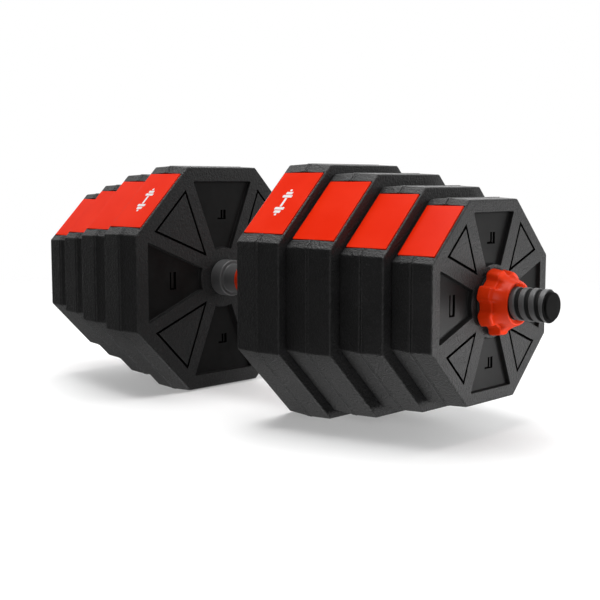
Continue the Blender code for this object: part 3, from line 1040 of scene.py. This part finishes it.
def add_nut(side):
    """Star nut: a lobed flange, a cone whose lobes fade out, a dished tip and a thread inside."""
    node = f"{side}_star_nut"
    start, end = reach(node)
    step = start + NUT_FLANGE
    base = NUT_R - NUT_DRAFT - NUT_BROW
    skin = Skin()
    rings = []

    def add(radius, lobe, height):
        rings.append(skin.ring(lobed(radius, lobe), height))

    for k in range(NUT_FOOT_STEPS + 1):
        angle = pi / 2 * k / NUT_FOOT_STEPS
        add(NUT_R - NUT_FOOT_R * (1 - sin(angle)), NUT_LOBE, start + NUT_FOOT_R * (1 - cos(angle)))
    for k in range(NUT_BROW_STEPS + 1):
        angle = pi / 2 * k / NUT_BROW_STEPS
        radius = NUT_R - NUT_DRAFT - NUT_BROW * (1 - cos(angle))
        lobe = NUT_LOBE * (1 - (1 - NUT_FADE) * k / NUT_BROW_STEPS)
        add(radius, lobe, step - NUT_BROW + NUT_BROW * sin(angle))
    for k in range(1, NUT_CONE_STEPS + 1):
        share = k / NUT_CONE_STEPS
        radius = base + (NUT_TIP_R - base) * share
        lobe = NUT_LOBE * NUT_FADE * (1 - share) ** 3
        add(radius, lobe, step + (end - NUT_RIM_R - step) * share)
    for k in range(1, NUT_RIM_STEPS + 1):
        angle = pi / 2 * k / NUT_RIM_STEPS
        add(NUT_TIP_R - NUT_RIM_R * (1 - cos(angle)), 0, end - NUT_RIM_R + NUT_RIM_R * sin(angle))
    for radius, drop in NUT_DISH_MM:
        add(radius * MM, 0, end - drop * MM)
    for height in list(np.arange(end - NUT_THREAD_SINK, start, -THREAD_STEP)) + [start]:
        rings.append(thread_ring(skin, height, NUT_PLAY, NUT_SIDES))
    for first, second in zip(rings, rings[1:] + rings[:1]):
        skin.wall(first, second)
    add_piece(
        f"{side}_nut_lobed", skin, end_matrix(side), f"{side}_nut", "nut_plastic", node,
        sharp=NUT_SHARP_ANGLE, weighted=False,
    )


# Stage ---------------------------------------------------------------------------------------------
def floor_paper():
    """Pale paper, bright where it is seen and dim where it throws light, that fades out far away."""
    paint = Paint("floor_paper", 0.75, specular=0.2)
    seen = paint.node("ShaderNodeLightPath").outputs["Is Camera Ray"]
    paint.link(paint.mixed(seen, (FLOOR_BOUNCE,) * 3, (FLOOR_SEEN,) * 3), paint.shader.inputs["Base Color"])
    paint.shader.inputs["Emission Color"].default_value = (1, 1, 1, 1)
    paint.link(paint.math("MULTIPLY", seen, FLOOR_LIFT), paint.shader.inputs["Emission Strength"])
    away = paint.node("ShaderNodeVectorMath", operation="LENGTH")
    paint.link(paint.where, away.inputs[0])
    fade = paint.ranged(away.outputs["Value"], 0, 1, *FLOOR_CLEAR, "SMOOTHSTEP")
    clear = paint.node("ShaderNodeBsdfTransparent").outputs["BSDF"]
    surface = paint.blended(fade, paint.shader.outputs["BSDF"], clear)
    paint.link(surface, paint.tree.nodes["Material Output"].inputs["Surface"])
    return paint.material


def add_floor():
    """Round pale floor that fades out into the pale surroundings."""
    skin = Skin()
    rings = [skin.ring(circle(radius, ROUND_SIDES), 0) for radius in FLOOR_RADII]
    for first, second in zip(rings, rings[1:]):
        skin.wall(second, first)
    skin.cap(rings[0])
    floor = bpy.data.objects.new("floor", skin.mesh("floor"))
    bpy.context.scene.collection.objects.link(floor)
    floor.data.materials.append(floor_paper())


def add_world():
    """Studio surroundings: plain white where they are seen, and soft lobes of light for the object."""
    world = bpy.data.worlds.new("studio")
    bpy.context.scene.world = world
    world.use_nodes = True
    nodes = Nodes(world.node_tree)
    backdrop = nodes.tree.nodes["Background"]
    backdrop.inputs["Color"].default_value = (1, 1, 1, 1)
    where = nodes.node("ShaderNodeTexCoord").outputs["Generated"]
    total = WORLD_DARK
    for direction, edge, full, strength in WORLD_LOBES:
        towards = nodes.node("ShaderNodeVectorMath", operation="DOT_PRODUCT")
        towards.inputs[1].default_value = Vector(direction).normalized()
        nodes.link(where, towards.inputs[0])
        lobe = nodes.ranged(towards.outputs["Value"], 0, strength, edge, full, "SMOOTHSTEP")
        total = nodes.math("ADD", lobe, total)
    lighting = nodes.node("ShaderNodeBackground")
    nodes.link(total, lighting.inputs["Strength"])
    seen = nodes.node("ShaderNodeLightPath").outputs["Is Camera Ray"]
    surface = nodes.blended(seen, lighting.outputs["Background"], backdrop.outputs["Background"])
    nodes.link(surface, nodes.tree.nodes["World Output"].inputs["Surface"])


def add_light(name, place, target, size, power, spread=180):
    """Rectangular area light that points at the target."""
    data = bpy.data.lights.new(name, "AREA")
    data.shape = "RECTANGLE"
    data.size, data.size_y = size
    data.energy = power
    data.spread = radians(spread)
    light = bpy.data.objects.new(name, data)
    bpy.context.scene.collection.objects.link(light)
    light.location = place
    light.rotation_mode = "QUATERNION"
    light.rotation_quaternion = (Vector(place) - Vector(target)).to_track_quat("Z", "Y")
    light.visible_camera = False


def add_camera():
    """The photograph's view."""
    data = bpy.data.cameras.new("camera")
    data.lens = CAMERA_LENS
    data.sensor_width = SENSOR_WIDTH
    data.clip_start = CLIP_START
    camera = bpy.data.objects.new("camera", data)
    bpy.context.scene.collection.objects.link(camera)
    camera.location = CAMERA_PLACE
    camera.rotation_mode = "QUATERNION"
    camera.rotation_quaternion = (Vector(CAMERA_PLACE) - Vector(CAMERA_TARGET)).to_track_quat("Z", "Y")
    bpy.context.scene.camera = camera


# Assembly ------------------------------------------------------------------------------------------
def dress(node, material):
    """Give a CAD node that stays in sight one material."""
    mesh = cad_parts[node].data
    mesh.materials.clear()
    mesh.materials.append(MATERIALS[material])


for side in SENSES:
    for number in range(1, 5):
        add_plate(side, number)
        dress(f"{side}_plate_{number}_cement_core", "cement")
    add_sleeve(side)
    add_end_cap(side)
    add_hand_stop(side)
    add_grip(side)
    add_seal(side)
    add_nut(side)
add_centre_band()
dress("core_tube", "tube_steel")

add_floor()
add_world()
CENTRE = (0, 0, AXIS_HEIGHT)
add_light("top_softbox", place=(-0.1, 0.0, 1.6), target=CENTRE, size=(1.1, 1.3), power=26)
add_light("front_softbox", place=(1.0, -0.9, 0.5), target=CENTRE, size=(0.5, 0.5), power=3.8)
add_light("face_softbox", place=(0.50, 0.16, 0.02), target=(0.24, 0.03, 0.09), size=(0.20, 0.08), power=1.15)
add_light("floor_glow", place=(0, 0, 0.0005), target=(0, 0, 1), size=(0.60, 0.22), power=0.25, spread=100)
add_camera()
bpy.context.scene.view_settings.view_transform = "Standard"
